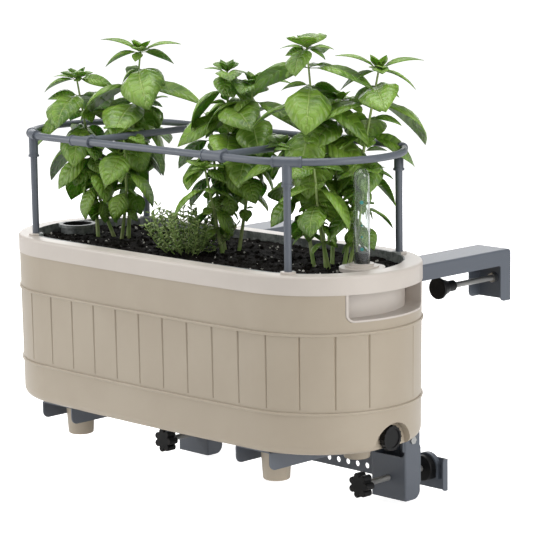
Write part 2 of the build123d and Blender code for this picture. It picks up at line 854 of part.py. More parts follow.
def make_shelf():
    """The shelf arm, an inverted channel whose narrowed tail passes the leg's window."""
    half = leg_width / 2
    front = tub_y - shelf_front
    stop = -leg_depth - seat_gap
    body = block((-half, half), (front, stop), (shelf_bottom, shelf_top))
    body = fillet(body.edges().filter_by(Axis.Y).sort_by(Axis.Z)[-2:], bend_radius)
    heights = (shelf_bottom - overrun, shelf_top - sheet)
    hollow = block((-leg_inner, leg_inner), (front - overrun, stop + overrun), heights)
    body -= fillet(hollow.edges().filter_by(Axis.Y).sort_by(Axis.Z)[-2:], bend_radius - sheet)
    toe = body.edges().filter_by(Axis.X).filter_by_position(Axis.Y, front - sheet, front + sheet)
    toe = toe.filter_by_position(Axis.Z, shelf_bottom - sheet, shelf_bottom + sheet)
    body = fillet(toe, shelf_toe_radius)
    tail_low = shelf_top - shelf_tail_drop - shelf_depth
    tail = block((-tail_half, tail_half), (stop - sheet, -shelf_tail_end), (tail_low, shelf_top))
    tail -= block(
        (-tail_half + sheet, tail_half - sheet),
        (stop - sheet - overrun, overrun),
        (tail_low - overrun, shelf_top - sheet),
    )
    body += tail
    for sign in sides.values():
        x = sorted((sign * half, sign * (tail_half - sheet)))
        body += block(x, (stop - sheet, stop), (shelf_bottom, shelf_top - bend_radius))
    for sign in sides.values():
        hole = (shelf_bottom, shelf_top + overrun)
        hole_wide = foot_top_radius + shelf_hole_gap
        body -= rod_z(hole_wide, 0, tub_y + sign * foot_spacing / 2, hole)
    through = (-half - overrun, half + overrun)
    return body - rod_x(bolt_radius + running_fit, through, -shelf_bolt_place, -shelf_bolt_drop)


def make_plate():
    """The perforated spreader plate across both legs."""
    top = -first_row_drop + row_edge
    body = block((-plate_half_length, plate_half_length), (0, sheet), (top - plate_height, top))
    body = fillet(body.edges().filter_by(Axis.Y), plate_corner_radius)
    columns = int((plate_half_length - hole_radius) / hole_pitch)
    holes = Sketch()
    for row in range(hole_rows):
        z = first_row_drop + row * hole_pitch
        for column in range(-columns, columns + 1):
            x = column * hole_pitch
            clear = math.hypot(abs(x) - bracket_place, z - lower_screw_drop)
            if clear > screw_pass_radius + hole_radius:
                holes += Pos(x, z) * Circle(hole_radius)
    for sign in sides.values():
        holes += Pos(sign * bracket_place, lower_screw_drop) * Circle(screw_pass_radius)
    cutter = extrude(holes, amount=sheet + 2 * overrun)
    return body - Pos(0, -overrun, 0) * Rot(-90, 0, 0) * cutter


def fastener_places():
    """Each frame bolt's place: its direction, the point under its head and its grip."""
    outer = outer_bolt_column * hole_pitch
    inner = inner_bolt_column * hole_pitch
    places = []
    for sign in sides.values():
        for x in (outer, inner):
            places.append(("-y", sign * x, sheet, -first_row_drop, 2 * sheet))
        for drop in hook_bolt_drops:
            places.append(("+y", sign * bracket_place, -leg_depth, -drop, 2 * sheet + running_fit))
        for side in sides.values():
            head = sign * bracket_place + side * leg_width / 2
            way = "-x" if side > 0 else "+x"
            places.append((way, head, -shelf_bolt_place, -shelf_bolt_drop, 2 * sheet + 2 * running_fit))
    return places


def fastener_turn(way):
    turns = {"+y": Rot(-90, 0, 0), "-y": Rot(90, 0, 0), "+x": Rot(0, 90, 0), "-x": Rot(0, -90, 0)}
    return turns[way]


def make_bolts():
    bolts = []
    for way, x, y, z, grip in fastener_places():
        head = Pos(0, 0, -bolt_head) * hexagon(bolt_head_flats, bolt_head)
        shank = Cylinder(bolt_radius, grip + bolt_nut + sheet / 2, align=on_base)
        bolts.append((Pos(x, y, z) * fastener_turn(way) * (head + shank)).solid())
    return Compound(children=bolts)


def make_nuts():
    nuts = []
    for way, x, y, z, grip in fastener_places():
        hole = Cylinder(bolt_radius + running_fit, bolt_nut, align=on_base)
        nut = hexagon(bolt_head_flats, bolt_nut) - hole
        nuts.append((Pos(x, y, z) * fastener_turn(way) * Pos(0, 0, grip) * nut).solid())
    return Compound(children=nuts)


def make_clamp_nuts():
    nuts = []
    for sign in sides.values():
        x = sign * bracket_place
        high = hook_outer_reach - sheet
        low = -leg_depth + sheet
        for y, z in (((high - screw_nut, high), upper_screw_z), ((low, low + screw_nut), lower_screw_z)):
            nut = hex_y(screw_head_flats, x, y, z) - rod_y(screw_radius + running_fit, x, y, z)
            nuts.append(nut.solid())
    return Compound(children=nuts)


def make_upper_screw(x):
    head = hook_outer_reach + upper_head_gap
    tip = rail_depth + pad_length - pad_bore_depth
    body = rod_y(screw_radius, x, (tip, head), upper_screw_z)
    return body + hex_y(screw_head_flats, x, (head, head + screw_head), upper_screw_z)


def make_upper_pad(x):
    """The black pad: a flat face for the rail, a round rim, a flare and a neck for the screw."""
    rim = Cylinder(pad_radius, pad_lip, align=on_base)
    rim = fillet(rim.edges().filter_by(GeomType.CIRCLE), pad_edge_radius)
    flare = Cone(pad_radius - pad_edge_radius, pad_neck_radius, pad_flare, align=on_base)
    neck = Cylinder(pad_back_radius, pad_length - pad_lip, align=on_base)
    body = rim + Pos(0, 0, pad_lip) * flare + Pos(0, 0, pad_lip) * neck
    bore = Pos(0, 0, pad_length - pad_bore_depth) * Cylinder(
        screw_radius + running_fit, pad_bore_depth + overrun, align=on_base
    )
    return Pos(x, rail_depth, upper_screw_z) * Rot(-90, 0, 0) * (body - bore)


def make_knob(x):
    """A star knob with round lobes."""
    reach = knob_radius - knob_lobe_radius
    profile = Circle(reach)
    for count in range(knob_lobes):
        turn = 2 * math.pi * count / knob_lobes
        profile += Pos(reach * math.cos(turn), reach * math.sin(turn)) * Circle(knob_lobe_radius)
    body = extrude(profile, amount=knob_thickness)
    body = fillet(body.faces().sort_by(Axis.Z)[0].outer_wire().edges(), knob_edge_radius)
    bore = Pos(0, 0, knob_thickness - knob_bore_depth) * Cylinder(
        screw_radius, knob_bore_depth + overrun, align=on_base
    )
    place = Pos(x, -knob_place - knob_thickness / 2, lower_screw_z) * Rot(-90, 0, 0)
    return place * (body - bore)


def make_lower_screw(x):
    start = -knob_place + knob_thickness / 2 - knob_bore_depth
    tip = shoe_place - sheet - cup_pad_length + cup_pad_bore
    return rod_y(screw_radius, x, (start, tip), lower_screw_z)


def make_cup_pad(x):
    high = shoe_place - sheet
    low = high - cup_pad_length
    body = rod_y(cup_pad_radius, x, (low, high), lower_screw_z)
    body = fillet(body.edges().filter_by(GeomType.CIRCLE).sort_by(Axis.Y)[:1], cup_pad_edge_radius)
    return body - rod_y(screw_radius + running_fit, x, (low - overrun, low + cup_pad_bore), lower_screw_z)


def make_shoe(x):
    """The shoe: a lipped plate with a keeper band over the cup pad."""
    half = leg_width / 2
    high = shoe_place
    back = high - sheet
    lip = back - shoe_lip
    heights = (lower_screw_z - shoe_bottom_margin, lower_screw_z + shoe_top_margin)
    body = block((-half, half), (lip, high), heights)
    inner_heights = (heights[0] - overrun, heights[1] + overrun)
    body -= block((-half + sheet, half - sheet), (lip - overrun, back), inner_heights)
    corners = body.edges().filter_by(Axis.X).filter_by_position(Axis.Y, lip - sheet, lip + sheet)
    body = fillet(corners, shoe_corner_radius)
    inner = cup_pad_radius + 2 * running_fit
    outer = inner + keeper_wall
    low = lower_screw_z - keeper_leg
    band = rod_y(outer, 0, (lip, back), lower_screw_z)
    band += block((-outer, outer), (lip, back), (low, lower_screw_z))
    band -= block((-outer, outer), (lip, back), (lower_screw_z - outer - overrun, low))
    band -= rod_y(inner, 0, (lip - overrun, back), lower_screw_z)
    band -= block((-inner, inner), (lip - overrun, back), (low - overrun, lower_screw_z))
    return Pos(x, 0, 0) * (body + band)


def make_all():
    nodes = {
        "tub": make_tub(),
        "liner": make_liner(),
        "drain_cap": make_drain_cap(),
        "drain_washer": make_drain_washer(),
        "gauge_tube": make_gauge_tube(),
        "gauge_marks": make_gauge_marks(),
        "gauge_float": make_gauge_float(),
        "soil": make_soil(),
        "spreader_plate": make_plate(),
        "frame_bolts": make_bolts(),
        "frame_nuts": make_nuts(),
        "clamp_nuts": make_clamp_nuts(),
        "rail_front": make_rail_middle(-1),
        "rail_back": make_rail_middle(1),
    }
    for index, name in enumerate(herb_names):
        nodes[name] = herb(
            herb_places[index],
            herb_offsets[index],
            herb_radii[index],
            herb_bottoms[index],
            herb_heights[index],
        )
    leg = make_leg()
    hook = make_hook()
    shelf = make_shelf()
    for side, sign in sides.items():
        x = sign * bracket_place
        right_leg = Pos(bracket_place, 0, 0) * leg
        nodes[f"leg_{side}"] = right_leg if sign > 0 else mirror(right_leg, about=Plane.YZ)
        nodes[f"hook_{side}"] = Pos(x, 0, 0) * hook
        nodes[f"shelf_{side}"] = Pos(x, 0, 0) * shelf
        nodes[f"upper_screw_{side}"] = make_upper_screw(x)
        nodes[f"upper_pad_{side}"] = make_upper_pad(x)
        nodes[f"star_knob_{side}"] = make_knob(x)
        nodes[f"lower_screw_{side}"] = make_lower_screw(x)
        nodes[f"cup_pad_{side}"] = make_cup_pad(x)
        nodes[f"shoe_{side}"] = make_shoe(x)
        nodes[f"end_arc_{side}"] = make_end_arc(sign)
        nodes[f"cross_bar_{side}"] = make_cross_bar(sign)
        for depth, row in (("front", -1), ("back", 1)):
            nodes[f"rail_{depth}_{side}"] = make_rail_end(sign, row)
            nodes[f"cross_tee_{depth}_{side}"] = make_cross_tee(sign, row)
            nodes[f"post_tee_{depth}_{side}"] = make_post_tee(sign, row)
            nodes[f"post_{depth}_{side}"] = make_post(sign, row)
    return nodes


def main():
    os.makedirs("parts", exist_ok=True)
    for name, shape in make_all().items():
        export_step(shape, f"parts/{name}.step")


main()
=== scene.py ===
import math
import random

import bmesh
import bpy
from mathutils import Euler, Matrix, Vector


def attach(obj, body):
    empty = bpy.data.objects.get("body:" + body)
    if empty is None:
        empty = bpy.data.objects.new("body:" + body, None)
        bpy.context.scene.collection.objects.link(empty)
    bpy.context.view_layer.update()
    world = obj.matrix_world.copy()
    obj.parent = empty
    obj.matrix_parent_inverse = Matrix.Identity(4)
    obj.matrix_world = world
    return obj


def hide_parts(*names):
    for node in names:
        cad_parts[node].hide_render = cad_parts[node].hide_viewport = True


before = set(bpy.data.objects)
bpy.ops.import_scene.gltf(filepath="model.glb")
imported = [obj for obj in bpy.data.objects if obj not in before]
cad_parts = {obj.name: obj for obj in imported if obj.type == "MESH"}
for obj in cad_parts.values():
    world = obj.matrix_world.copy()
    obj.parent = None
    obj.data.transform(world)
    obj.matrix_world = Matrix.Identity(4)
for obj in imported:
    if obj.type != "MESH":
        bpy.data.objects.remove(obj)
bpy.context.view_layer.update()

# Metres. The planter's middle stands this far in front of the rail's front edge.
PLANTER_Y = -0.17545
RIM_Z = 0.052
SOIL_Z = 0.040
# The oval's two middles, its trough's inner wall and the filler pipe
SPINE_HALF = 0.2055
TROUGH_RADIUS = 0.1198
PORT_X = -0.293
PORT_BORE = 0.0217
# The grey inner face ends before the gauge's web, keeps off its collar and starts under the soil
GREY_END = (0.300, 0.306)
GREY_COLLAR = (0.0335, 0.0345)
GREY_FOOT = (0.026, 0.030)
# The gauge tube, and the room that the leaves leave round it
GAUGE_X = 0.290
GAUGE_TOP = 0.192
GAUGE_ROOM = 0.0150
SIDES = ("left", "right")
DEPTHS = ("front", "back")

# The camera that took the photograph
CAMERA_PLACE = (2.4989, -2.5499, 0.5981)
CAMERA_AZIMUTH = 45.19
CAMERA_ELEVATION = 9.55
CAMERA_ROLL = -0.81
CAMERA_LENS = 166.0
FLOOR_Z = -0.32

# Lamps: place, size and watts; the air's own light besides
AIR_LIGHT = 0.42
FLOOR_GLOW = (0.12, 0.75)
LAMPS = {
    "top_lamp": ((-0.1, -0.3, 1.95), (2.2, 1.5), 34),
    "right_lamp": ((2.4, -0.1, 0.65), (1.0, 1.3), 23),
    "left_lamp": ((-1.9, -1.9, 0.75), (1.0, 1.3), 23),
    "back_lamp": ((-2.3, 2.2, 0.85), (3.4, 1.6), 34),
}

# Colours, linear
BEIGE = (0.395, 0.338, 0.262, 1)
BEIGE_DUSK = (0.375, 0.318, 0.244, 1)
CREAM = (0.548, 0.498, 0.450, 1)
CREAM_DUSK = (0.520, 0.472, 0.426, 1)
LINER_GREY = (0.300, 0.315, 0.310, 1)
LINER_GREY_DARK = (0.120, 0.132, 0.130, 1)
SLATE = (0.106, 0.121, 0.147, 1)
SLATE_DUSK = (0.090, 0.103, 0.126, 1)
BLACK = (0.0030, 0.0030, 0.0034, 1)
BLACK_WORN = (0.0075, 0.0075, 0.0082, 1)
ZINC = (0.52, 0.52, 0.51, 1)
ZINC_DULL = (0.36, 0.36, 0.35, 1)
SOIL_DARK = (0.0025, 0.0018, 0.0012, 1)
SOIL_BROWN = (0.016, 0.0100, 0.0060, 1)
PERLITE = (0.75, 0.74, 0.70, 1)
LEAF_DEEP = (0.066, 0.150, 0.007, 1)
LEAF_BRIGHT = (0.205, 0.352, 0.034, 1)
LEAF_VEIN = (0.330, 0.470, 0.110, 1)
STEM_GREEN = (0.235, 0.360, 0.085, 1)
STEM_PALE = (0.360, 0.430, 0.170, 1)
THYME_GREEN = (0.085, 0.150, 0.026, 1)
THYME_PALE = (0.270, 0.360, 0.115, 1)
TEAL = (0.030, 0.210, 0.200, 1)
# How far light goes on inside a leaf, by colour
LEAF_GLOW = (0.35, 1.0, 0.15)

# Basil leaf, a share of its length at nine rows from stalk to tip
LEAF_WIDTHS = (0.010, 0.018, 0.190, 0.285, 0.318, 0.296, 0.228, 0.125, 0.004)
LEAF_ROWS = 8
LEAF_COLUMNS = 4
LEAF_THICKNESS = 0.010
# How far it arches over in radians, and how far each half swells and its edge drops
LEAF_KINDS = {"open": (0.70, 0.11, 0.04), "bowed": (1.05, 0.13, -0.02), "hanging": (1.25, 0.10, -0.07)}

# Basil stems: base and tip from the planter's middle at soil height, number of leaf
# pairs, longest leaf, first turn, share of the height where the leaves start
BASIL = {
    "basil_left": (
        ((-0.232, -0.012), (-0.262, -0.020, 0.240), 9, 0.096, 40, 0.24),
        ((-0.196, 0.016), (-0.172, 0.026, 0.282), 10, 0.098, 130, 0.22),
        ((-0.214, 0.006), (-0.226, -0.030, 0.150), 6, 0.074, 75, 0.30),
        ((-0.186, -0.008), (-0.150, -0.030, 0.170), 5, 0.074, 10, 0.32),
        ((-0.206, 0.022), (-0.205, 0.062, 0.200), 6, 0.074, 100, 0.32),
    ),
    "basil_middle": (
        ((0.010, 0.010), (0.020, 0.016, 0.262), 10, 0.092, 50, 0.26),
        ((0.030, 0.022), (0.052, 0.034, 0.246), 9, 0.090, 120, 0.28),
        ((0.004, 0.022), (-0.030, 0.030, 0.190), 6, 0.076, 20, 0.32),
        ((0.022, 0.000), (0.020, -0.030, 0.130), 4, 0.068, 85, 0.34),
    ),
    "basil_right": (
        ((0.212, 0.012), (0.186, 0.006, 0.304), 10, 0.102, 30, 0.26),
        ((0.222, 0.036), (0.262, 0.066, 0.276), 10, 0.100, 140, 0.26),
        ((0.196, 0.006), (0.150, -0.006, 0.170), 6, 0.080, 60, 0.30),
        ((0.224, 0.006), (0.236, -0.034, 0.150), 5, 0.074, 100, 0.30),
        ((0.206, 0.030), (0.200, 0.056, 0.230), 7, 0.082, 15, 0.32),
        ((0.236, 0.030), (0.268, 0.036, 0.140), 5, 0.072, 60, 0.32),
    ),
}
STEM_RADIUS = 0.0032
# How deep a stem stands in the soil, how far its tip stays under its last leaves,
# and where it bends, a share of its height
STEM_SUNK = 0.006
TIP_ROOM = 0.020
KNEE = 0.45
STEM_TAPER = 0.45
# Leaves of the top whorl, a share of the longest leaf
BUD_INNER = 0.26
BUD_OUTER = (0.38, 0.64)

# Thyme
THYME_PLACE = (-0.024, -0.026)
THYME_STEMS = 30
THYME_REACH = 0.062
THYME_HEIGHT = 0.070
THYME_LEAVES = 11
THYME_FOOT = 0.024
TWIG_RADII = (0.0009, 0.0006)
THYME_LEAF = 0.0108

# Soil
SOIL_VOXEL = 0.004
CRUMB_COUNT = 760
CRUMB_SIZES = (0.0012, 0.0042)
PERLITE_COUNT = 150
PERLITE_SIZES = (0.0010, 0.0025)
CLOD_SIZE = 0.018
CLOD_HEIGHT = 0.011
# The bare soil: a box round the middle, the end's round wall, and a ring round port and gauge
SOIL_REACH = (0.318, 0.112)
SOIL_END = (0.2106, 0.108)
TOWER_ROOM = 0.032
WEB_ROOM = 0.010


class Line:
    """A socket's value, with the sums that a finish needs."""

    def __init__(self, finish, socket):
        self.finish = finish
        self.socket = socket

    def sum(self, operation, first, second):
        return self.finish.node("ShaderNodeMath", {"operation": operation}, {0: first, 1: second})

    def __add__(self, other):
        return self.sum("ADD", self, other)

    def __radd__(self, other):
        return self.sum("ADD", other, self)

    def __sub__(self, other):
        return self.sum("SUBTRACT", self, other)

    def __rsub__(self, other):
        return self.sum("SUBTRACT", other, self)

    def __mul__(self, other):
        return self.sum("MULTIPLY", self, other)

    def __rmul__(self, other):
        return self.sum("MULTIPLY", other, self)

    def __abs__(self):
        return self.sum("ABSOLUTE", self, 0)


class Finish:
    """One material: its nodes are made by node() and its sums by Line."""

    def __init__(self, name):
        self.material = bpy.data.materials.new(name)
        self.material.use_nodes = True
        self.nodes = self.material.node_tree.nodes
        self.links = self.material.node_tree.links
        self.shader = self.nodes["Principled BSDF"]

    def feed(self, entry, value):
        if isinstance(value, Line):
            self.links.new(value.socket, entry)
        else:
            entry.default_value = value

    def node(self, kind, settings, entries, output=0):
        made = self.nodes.new(kind)
        for name, value in settings.items():
            setattr(made, name, value)
        for name, value in entries.items():
            self.feed(made.inputs[name], value)
        return Line(self, made.outputs[output])

    def set(self, **entries):
        for name, value in entries.items():
            self.feed(self.shader.inputs[name.replace("_", " ")], value)

    def place(self, name="Object"):
        return self.node("ShaderNodeTexCoord", {}, {}, name)

    def noise(self, scale, detail=3.0, roughness=0.55, where=None):
        entries = {"Vector": where or self.place(), "Scale": scale, "Detail": detail}
        entries["Roughness"] = roughness
        return self.node("ShaderNodeTexNoise", {}, entries)

    def grains(self, scale, randomness=1.0, where=None):
        entries = {"Vector": where or self.place(), "Scale": scale, "Randomness": randomness}
        return self.node("ShaderNodeTexVoronoi", {}, entries)

    def axis(self, name, where=None):
        return self.node("ShaderNodeSeparateXYZ", {}, {0: where or self.place()}, name)

    def wave(self, line):
        return self.node("ShaderNodeMath", {"operation": "SINE"}, {0: line})

    def larger(self, first, second):
        return self.node("ShaderNodeMath", {"operation": "MAXIMUM"}, {0: first, 1: second})

    def length(self, first, second):
        square = first * first + second * second
        return self.node("ShaderNodeMath", {"operation": "SQRT"}, {0: square})

    def ramp(self, line, low, high):
        """Zero below low, one above high, smooth between."""
        settings = {"interpolation_type": "SMOOTHSTEP"}
        entries = {"Value": line, "From Min": low, "From Max": high}
        return self.node("ShaderNodeMapRange", settings, entries)

    def span(self, line, low, high):
        """A zero-to-one line stretched between two values."""
        return line * (high - low) + low

    def blend(self, share, first, second):
        return self.node("ShaderNodeMix", {"data_type": "RGBA"}, {0: share, 6: first, 7: second}, 2)

    def bump(self, height, strength, distance):
        entries = {"Strength": strength, "Distance": distance, "Height": height}
        self.set(Normal=self.node("ShaderNodeBump", {}, entries))


def moulded(name, fair, dusk, rough):
    """Satin moulded plastic with a fine leather-like skin."""
    finish = Finish(name)
    cloud = finish.noise(9.0, 4.0)
    skin = finish.grains(950.0) * 0.6 + finish.noise(420.0, 3.0) * 0.8
    scuff = finish.ramp(finish.noise(60.0, 6.0, 0.7), 0.60, 0.78)
    finish.set(Base_Color=finish.blend(finish.ramp(cloud, 0.35, 0.65), dusk, fair))
    finish.set(Roughness=finish.span(cloud, rough - 0.06, rough + 0.08) + scuff * 0.06)
    finish.set(Specular_IOR_Level=0.45)
    finish.bump(skin, 0.16, 0.0004)
    return finish.material


def lined(name, fair, dusk, rough):
    """The liner's moulding: cream rim and deck, grey inside with darker mottled patches, and painted shade
    in black down the filler pipe's bore.
    """
    finish = Finish(name)
    x, y = finish.axis("X"), finish.axis("Y") - PLANTER_Y
    outward = finish.larger(abs(x) - SPINE_HALF, 0)
    inside = 1 - finish.ramp(finish.length(outward, y), TROUGH_RADIUS, TROUGH_RADIUS + 0.0006)
    inside = inside * (1 - finish.ramp(x, *GREY_END)) * finish.ramp(finish.axis("Z"), *GREY_FOOT)
    inside = inside * finish.ramp(finish.length(x - GAUGE_X, y), *GREY_COLLAR)
    # Painted shade: the filler pipe's bore is coloured black to stand for the shade down the hole
    pipe = 1 - finish.ramp(finish.length(x - PORT_X, y), PORT_BORE, PORT_BORE + 0.0006)
    cloud = finish.noise(9.0, 4.0)
    skin = finish.grains(950.0) * 0.6 + finish.noise(420.0, 3.0) * 0.8
    # The inner face is grey, mottled with darker grey patches
    mottle = finish.ramp(finish.noise(75.0, 6.0, 0.7), 0.40, 0.62)
    colour = finish.blend(finish.ramp(cloud, 0.35, 0.65), dusk, fair)
    colour = finish.blend(inside, colour, finish.blend(mottle, LINER_GREY_DARK, LINER_GREY))
    finish.set(Base_Color=finish.blend(pipe, colour, BLACK))
    finish.set(Roughness=finish.span(cloud, rough - 0.06, rough + 0.08) + inside * 0.10)
    finish.set(Specular_IOR_Level=0.45)
    finish.bump(skin, 0.16, 0.0004)
    return finish.material


def powder_coat():
    """Slate powder coat: orange peel and fine speckle."""
    finish = Finish("slate_powder_coat")
    peel = finish.noise(700.0, 2.0)
    speck = finish.ramp(finish.noise(2600.0, 2.0), 0.42, 0.62)
    cloud = finish.noise(14.0, 3.0)
    finish.set(Base_Color=finish.blend(speck * 0.55 + cloud * 0.35, SLATE_DUSK, SLATE))
    finish.set(Roughness=finish.span(peel, 0.34, 0.50))
    finish.set(Specular_IOR_Level=0.55)
    finish.bump(peel, 0.22, 0.0003)
    return finish.material


def black_moulding(name, rough):
    finish = Finish(name)
    skin = finish.noise(900.0, 3.0)
    wear = finish.ramp(finish.noise(45.0, 6.0, 0.75), 0.50, 0.80)
    finish.set(Base_Color=finish.blend(wear, BLACK, BLACK_WORN))
    finish.set(Roughness=finish.span(skin, rough - 0.08, rough + 0.10), Specular_IOR_Level=0.26)
    finish.bump(skin, 0.20, 0.0003)
    return finish.material


def zinc(name, pitch=None):
    """Bright zinc plating, with a screw thread along Y where a pitch is given."""
    finish = Finish(name)
    cloud = finish.noise(240.0, 4.0)
    finish.set(Base_Color=finish.blend(cloud, ZINC_DULL, ZINC), Metallic=0.92)
    finish.set(Roughness=finish.span(cloud, 0.26, 0.44))
    if pitch:
        turn = finish.wave(finish.axis("Y") * (2 * math.pi / pitch))
        finish.bump(turn, 0.75, pitch / 2)
    else:
        finish.bump(finish.noise(1500.0, 2.0), 0.12, 0.0002)
    return finish.material


def clear_plastic():
    finish = Finish("clear_gauge_plastic")
    haze = finish.noise(120.0, 3.0)
    finish.set(Base_Color=(0.95, 0.985, 0.975, 1), Transmission_Weight=0.985, IOR=1.42)
    finish.set(Roughness=finish.span(haze, 0.015, 0.06))
    return finish.material


def teal_print():
    finish = Finish("teal_print")
    cloud = finish.noise(900.0, 3.0)
    finish.set(Base_Color=finish.blend(cloud, TEAL, (0.05, 0.28, 0.26, 1)))
    finish.set(Roughness=finish.span(cloud, 0.35, 0.5))
    return finish.material


def basil_leaf():
    """A glossy quilted leaf, its veins laid out on the leaf's own map."""
    finish = Finish("basil_leaf")
    chart = finish.place("UV")
    across = abs(finish.axis("X", chart) - 0.5)
    along = finish.axis("Y", chart)
    sway = finish.noise(30.0, 2.0) * 0.05
    rib = 1 - finish.ramp(across + sway * 0.1, 0.008, 0.035)
    slant = finish.wave((along - across * 0.42 + sway) * 52.0)
    veins = finish.ramp(slant, 0.80, 0.99) * 0.8
    quilt = finish.noise(260.0, 2.0)
    cloud = finish.noise(16.0, 3.0)
    patch = finish.noise(85.0, 3.0)
    green = finish.blend(finish.ramp(cloud * 0.7 + patch * 0.3, 0.34, 0.62), LEAF_DEEP, LEAF_BRIGHT)
    marked = finish.blend(veins * 0.50 + rib * 0.80, green, LEAF_VEIN)
    finish.set(Base_Color=marked, Roughness=finish.span(patch, 0.30, 0.46), Specular_IOR_Level=0.6)
    finish.set(Subsurface_Weight=0.12, Subsurface_Scale=0.004, Subsurface_Radius=LEAF_GLOW)
    finish.set(Coat_Weight=0.18, Coat_Roughness=0.32)
    finish.bump(quilt * 0.8 - slant * 0.28 - veins * 0.5 - rib * 0.9, 0.80, 0.0018)
    return finish.material


def plant_skin(name, dark, pale, scale):
    finish = Finish(name)
    cloud = finish.noise(scale, 3.0)
    streak = finish.noise(scale * 6, 2.0)
    finish.set(Base_Color=finish.blend(finish.ramp(cloud, 0.35, 0.65), dark, pale))
    finish.set(Roughness=finish.span(streak, 0.42, 0.60))
    finish.set(Subsurface_Weight=0.08, Subsurface_Scale=0.003, Subsurface_Radius=LEAF_GLOW)
    finish.bump(streak, 0.30, 0.0004)
    return finish.material


def potting_soil(name):
    finish = Finish(name)
    clod = finish.grains(260.0)
    crumb = finish.noise(620.0, 6.0, 0.7)
    damp = finish.noise(22.0, 3.0)
    brown = finish.ramp(crumb * 0.7 + damp * 0.3, 0.42, 0.72)
    finish.set(Base_Color=finish.blend(brown, SOIL_DARK, SOIL_BROWN))
    finish.set(Roughness=finish.span(crumb, 0.70, 0.98), Specular_IOR_Level=0.15)
    finish.bump(crumb + clod * 0.8, 1.0, 0.0030)
    return finish.material


def perlite_grain():
    finish = Finish("perlite_grain")
    pit = finish.grains(900.0)
    finish.set(Base_Color=finish.blend(pit, PERLITE, (0.50, 0.47, 0.42, 1)), Roughness=0.85)
    finish.bump(pit, 0.6, 0.0006)
    return finish.material


def paint(material, *nodes):
    for name in nodes:
        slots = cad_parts[name].data.materials
        slots.clear()
        slots.append(material)


def pick_only(*pieces):
    if bpy.context.object and bpy.context.object.mode != "OBJECT":
        bpy.ops.object.mode_set(mode="OBJECT")
    bpy.ops.object.select_all(action="DESELECT")
    for piece in pieces:
        piece.select_set(True)
    if pieces:
        bpy.context.view_layer.objects.active = pieces[0]


def choose(piece, test):
    """In edit mode, selects the vertices whose place passes the test."""
    mesh = bmesh.from_edit_mesh(piece.data)
    bpy.ops.mesh.select_all(action="DESELECT")
    for corner in mesh.verts:
        corner.select = test(corner.co)
    mesh.select_flush(True)
    bmesh.update_edit_mesh(piece.data)


def apply(piece, kind, **settings):
    pick_only(piece)
    step = piece.modifiers.new(kind.title(), kind)
    for name, value in settings.items():
        setattr(step, name, value)
    bpy.ops.object.modifier_apply(modifier=step.name)


def copied(piece, name, place):
    """A copy with its own mesh, set at its place in that mesh."""
    twin = bpy.data.objects.new(name, piece.data.copy())
    twin.data.transform(place)
    bpy.context.collection.objects.link(twin)
    return twin


def joined(name, pieces):
    pick_only(*pieces)
    bpy.ops.object.join()
    whole = bpy.context.object
    whole.name = name
    whole.data.name = name
    return whole


def make_leaf(kind, arch, swell, edge, material):
    """A basil leaf one unit long, pulled from a grid row by row."""
    pick_only()
    bpy.ops.mesh.primitive_grid_add(x_subdivisions=LEAF_COLUMNS, y_subdivisions=LEAF_ROWS, size=1)
    leaf = bpy.context.object
    leaf.name = "leaf_" + kind
    bpy.ops.object.mode_set(mode="EDIT")
    reach = 0.02
    for side, lift in ((0.25, swell), (0.5, edge)):
        choose(leaf, lambda co: abs(abs(co.x) - side) < reach)
        bpy.ops.transform.translate(value=(0, 0, lift))
    for row, width in enumerate(LEAF_WIDTHS):
        share = row / LEAF_ROWS
        low = share - 0.5
        choose(leaf, lambda co: abs(co.y - low) < reach)
        size = (2 * width, 1, 2 * width)
        bpy.ops.transform.resize(value=size, center_override=(0, low, 0))
        choose(leaf, lambda co: abs(co.y - low) < reach)
        turn = arch * share
        bpy.ops.transform.translate(value=(0, math.sin(turn) / arch - share, (math.cos(turn) - 1) / arch))
    bpy.ops.mesh.select_all(action="SELECT")
    bpy.ops.transform.translate(value=(0, 0.5, 0))
    bpy.ops.object.mode_set(mode="OBJECT")
    apply(leaf, "SOLIDIFY", thickness=LEAF_THICKNESS)
    bpy.ops.object.shade_smooth()
    leaf.data.materials.append(material)
    return leaf


def make_stem(name, points, thick, thin, material):
    """A round stem through its points, tapering to its tip."""
    curve = bpy.data.curves.new(name, "CURVE")
    curve.dimensions = "3D"
    curve.bevel_depth = 1.0
    curve.bevel_resolution = 1
    curve.resolution_u = 3
    curve.use_fill_caps = True
    spline = curve.splines.new("NURBS")
    spline.points.add(len(points) - 1)
    for index, point in enumerate(points):
        share = index / (len(points) - 1)
        spline.points[index].co = (*point, 1)
        spline.points[index].radius = thick + (thin - thick) * share
    spline.order_u = 3
    spline.use_endpoint_u = True
    stem = bpy.data.objects.new(name, curve)
    bpy.context.collection.objects.link(stem)
    pick_only(stem)
    bpy.ops.object.convert(target="MESH")
    stem = bpy.context.object
    bpy.ops.object.shade_smooth()
    stem.data.materials.append(material)
    return stem


def leaf_place(point, turn, pitch, roll, length):
    face = Euler((math.radians(pitch), math.radians(roll), math.radians(turn - 90)), "XYZ")
    return Matrix.Translation(point) @ face.to_matrix().to_4x4() @ Matrix.Scale(length, 4)


